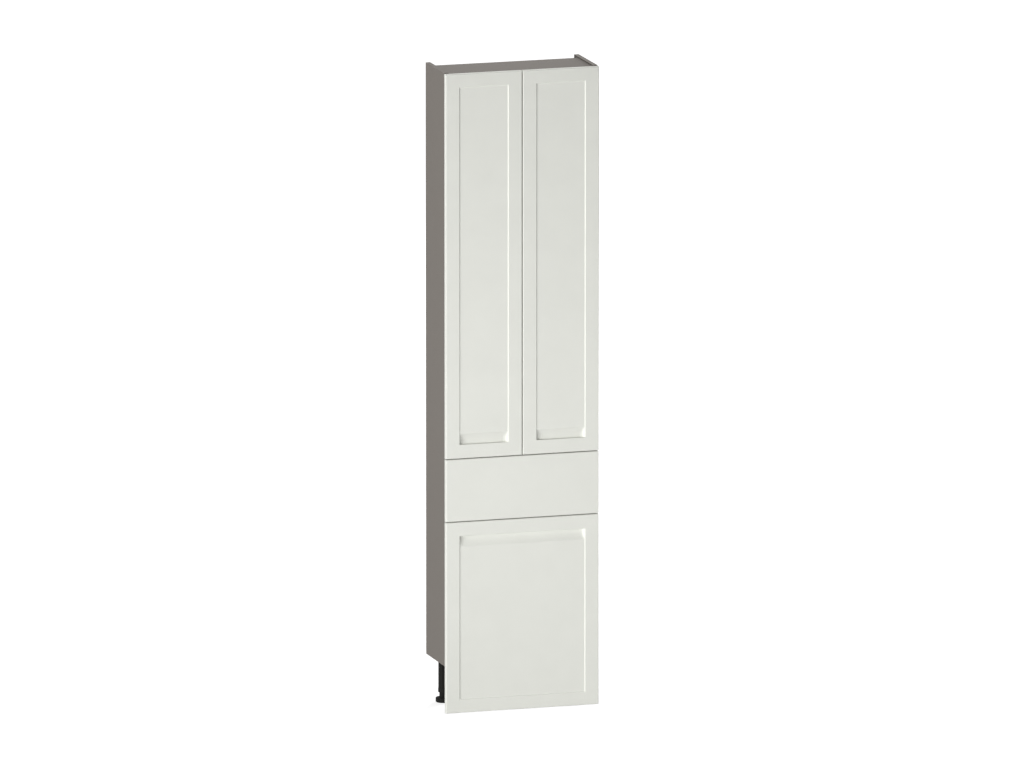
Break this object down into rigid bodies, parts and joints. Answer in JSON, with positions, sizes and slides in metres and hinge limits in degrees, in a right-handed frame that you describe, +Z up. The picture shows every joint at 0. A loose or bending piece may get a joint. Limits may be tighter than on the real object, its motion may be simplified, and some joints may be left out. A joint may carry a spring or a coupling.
{
  "type": "tall pantry cabinet",
  "caption": "Tall shallow pantry cabinet on adjustable legs, with framed upper doors over loose shelves, a plain drawer and a deep pull-out whose front reaches down to the floor.",
  "frame": {"origin": "on the floor under the middle of the whole cabinet, fronts included", "axes": "+Z up, front faces -Y, +X to the right of someone facing the fronts"},
  "size_m": [0.6, 0.263, 2.447],
  "materials": {
    "front_lacquer": "satin lacquer on fibreboard, pale alabaster",
    "carcass_melamine": "fine-grained melamine, taupe grey",
    "hardboard": "smooth painted hardboard, taupe grey",
    "beech": "raw fluted beech",
    "leg_plastic": "moulded black",
    "pad_rubber": "soft translucent pale pad",
    "cap_plastic": "moulded taupe grey",
    "runner_steel": "zinc-plated sheet",
    "bright_steel": "nickel-plated"
  },
  "bodies": {
    "carcass": {"access_caps": "cap_plastic", "back_panel": "hardboard", "bottom_panel": "carcass_melamine", "cam_bolts": "bright_steel", "cam_locks": "bright_steel", "divider_lower": "carcass_melamine", "divider_upper": "carcass_melamine", "dowels": "beech", "drawer_runners_outer": "runner_steel", "hinge_arms": "bright_steel", "hinge_plate_screws": "bright_steel", "hinge_plates": "bright_steel", "leg_screws": "bright_steel", "leg_sleeve_front_left": "leg_plastic", "leg_sleeve_front_right": "leg_plastic", "leg_sleeve_rear_left": "leg_plastic", "leg_sleeve_rear_right": "leg_plastic", "pullout_runners_outer": "runner_steel", "runner_screws": "bright_steel", "shelf_1": "carcass_melamine", "shelf_2": "carcass_melamine", "shelf_3": "carcass_melamine", "shelf_4": "carcass_melamine", "shelf_pins": "bright_steel", "side_left": "carcass_melamine", "side_right": "carcass_melamine", "top_panel": "carcass_melamine", "wall_rail": "carcass_melamine"},
    "left_door": {"door_left": "front_lacquer", "hinge_cups_left": "bright_steel", "cup_screws_left": "bright_steel", "bumpers_left": "pad_rubber"},
    "right_door": {"door_right": "front_lacquer", "hinge_cups_right": "bright_steel", "cup_screws_right": "bright_steel", "bumpers_right": "pad_rubber"},
    "drawer": {"drawer_front": "front_lacquer", "drawer_side_left": "carcass_melamine", "drawer_side_right": "carcass_melamine", "drawer_box_front": "carcass_melamine", "drawer_box_back": "carcass_melamine", "drawer_bottom": "hardboard", "drawer_front_screws": "bright_steel", "drawer_runners_inner": "runner_steel"},
    "drawer_middle": {"drawer_runners_middle": "runner_steel"},
    "pullout": {"pullout_front": "front_lacquer", "pullout_side_left": "carcass_melamine", "pullout_side_right": "carcass_melamine", "pullout_box_front": "carcass_melamine", "pullout_box_back": "carcass_melamine", "pullout_bottom": "hardboard", "pullout_front_screws": "bright_steel", "pullout_runners_inner": "runner_steel"},
    "pullout_middle": {"pullout_runners_middle": "runner_steel"},
    "foot_front_left": {"foot_front_left": "leg_plastic"},
    "foot_front_right": {"foot_front_right": "leg_plastic"},
    "foot_rear_left": {"foot_rear_left": "leg_plastic"},
    "foot_rear_right": {"foot_rear_right": "leg_plastic"}
  },
  "joints": [
    {"name": "left_door_hinge", "type": "hinge", "parent": "carcass", "child": "left_door", "pos_m": [-0.2925, -0.1225, 1.712], "axis": [0, 0, -1], "range_deg": [0, 105]},
    {"name": "right_door_hinge", "type": "hinge", "parent": "carcass", "child": "right_door", "pos_m": [0.2925, -0.1225, 1.712], "axis": [0, 0, 1], "range_deg": [0, 105]},
    {"name": "drawer_slide", "type": "slide", "parent": "carcass", "child": "drawer", "axis": [0, -1, 0], "range_m": [0, 0.175]},
    {"name": "drawer_middle_slide", "type": "slide", "parent": "carcass", "child": "drawer_middle", "axis": [0, -1, 0], "range_m": [0, 0.0875]},
    {"name": "pullout_slide", "type": "slide", "parent": "carcass", "child": "pullout", "axis": [0, -1, 0], "range_m": [0, 0.175]},
    {"name": "pullout_middle_slide", "type": "slide", "parent": "carcass", "child": "pullout_middle", "axis": [0, -1, 0], "range_m": [0, 0.0875]},
    {"name": "foot_front_left_height", "type": "slide", "parent": "carcass", "child": "foot_front_left", "axis": [0, 0, 1], "range_m": [0, 0.015]},
    {"name": "foot_front_right_height", "type": "slide", "parent": "carcass", "child": "foot_front_right", "axis": [0, 0, 1], "range_m": [0, 0.015]},
    {"name": "foot_rear_left_height", "type": "slide", "parent": "carcass", "child": "foot_rear_left", "axis": [0, 0, 1], "range_m": [0, 0.015]},
    {"name": "foot_rear_right_height", "type": "slide", "parent": "carcass", "child": "foot_rear_right", "axis": [0, 0, 1], "range_m": [0, 0.015]}
  ],
  "couplings": [
    {"joint": "drawer_middle_slide", "follows": "drawer_slide", "ratio": 0.5},
    {"joint": "pullout_middle_slide", "follows": "pullout_slide", "ratio": 0.5}
  ]
}
